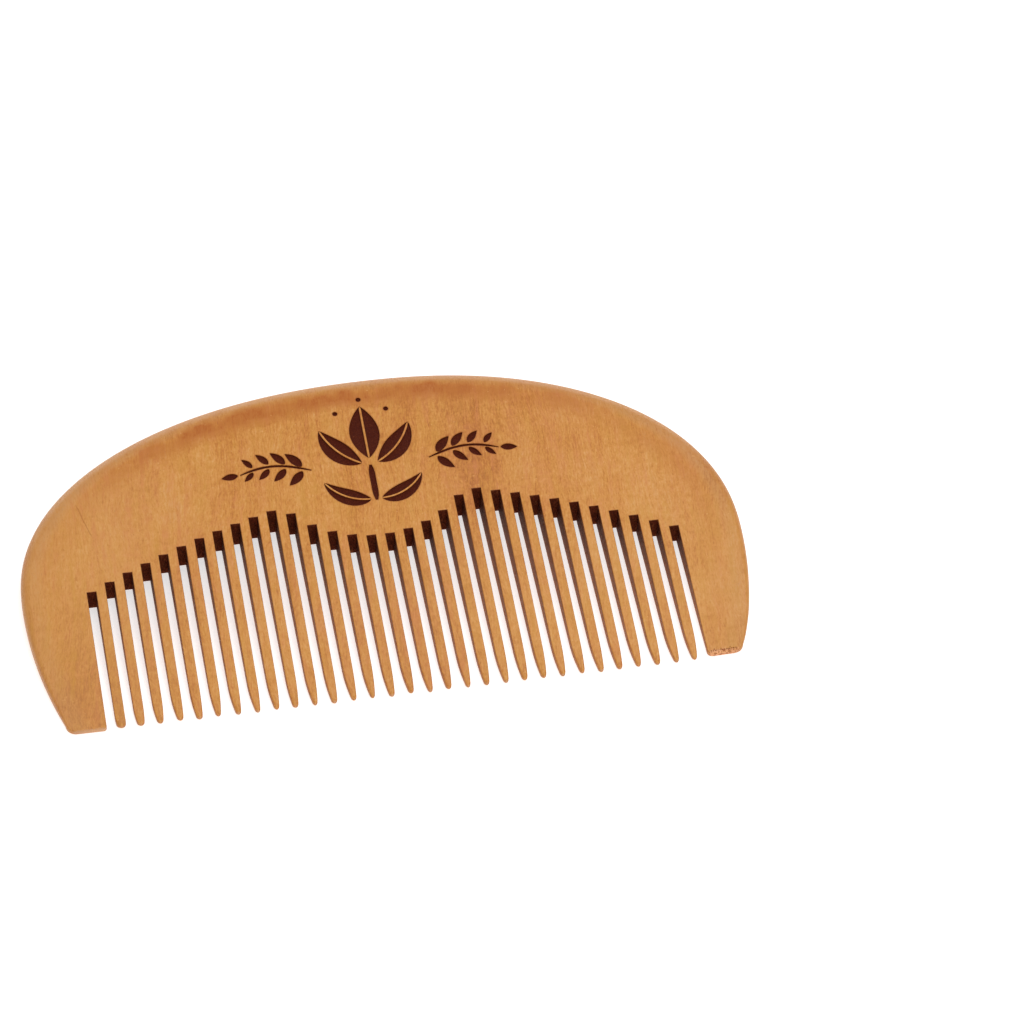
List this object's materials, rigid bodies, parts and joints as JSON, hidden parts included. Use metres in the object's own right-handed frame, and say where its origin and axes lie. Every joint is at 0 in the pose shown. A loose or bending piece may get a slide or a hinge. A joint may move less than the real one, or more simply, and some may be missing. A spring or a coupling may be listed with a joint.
{
  "type": "beard comb",
  "caption": "Pocket-size wooden beard comb with a half-round spine, a row of sawn wedge-shaped teeth between two broad end guards, and a rounded, sanded edge.",
  "frame": {"origin": "centre of the comb's bounding box on the plane of its flat back face, on which it lies", "axes": "+X along the row of teeth, from the left end guard to the right one seen from the front; +Y from the tooth tips to the crown of the spine; +Z out of the front face, away from the surface that the comb lies on"},
  "size_m": [0.111, 0.0596, 0.0082],
  "materials": {
    "wood": "satin"
  },
  "bodies": {
    "root": {"spine": "wood", "left_end_guard": "wood", "right_end_guard": "wood", "tooth_01": "wood", "tooth_02": "wood", "tooth_03": "wood", "tooth_04": "wood", "tooth_05": "wood", "tooth_06": "wood", "tooth_07": "wood", "tooth_08": "wood", "tooth_09": "wood", "tooth_10": "wood", "tooth_11": "wood", "tooth_12": "wood", "tooth_13": "wood", "tooth_14": "wood", "tooth_15": "wood", "tooth_16": "wood", "tooth_17": "wood", "tooth_18": "wood", "tooth_19": "wood", "tooth_20": "wood", "tooth_21": "wood", "tooth_22": "wood", "tooth_23": "wood", "tooth_24": "wood", "tooth_25": "wood", "tooth_26": "wood", "tooth_27": "wood", "tooth_28": "wood", "tooth_29": "wood", "tooth_30": "wood", "tooth_31": "wood"}
  },
  "joints": []
}
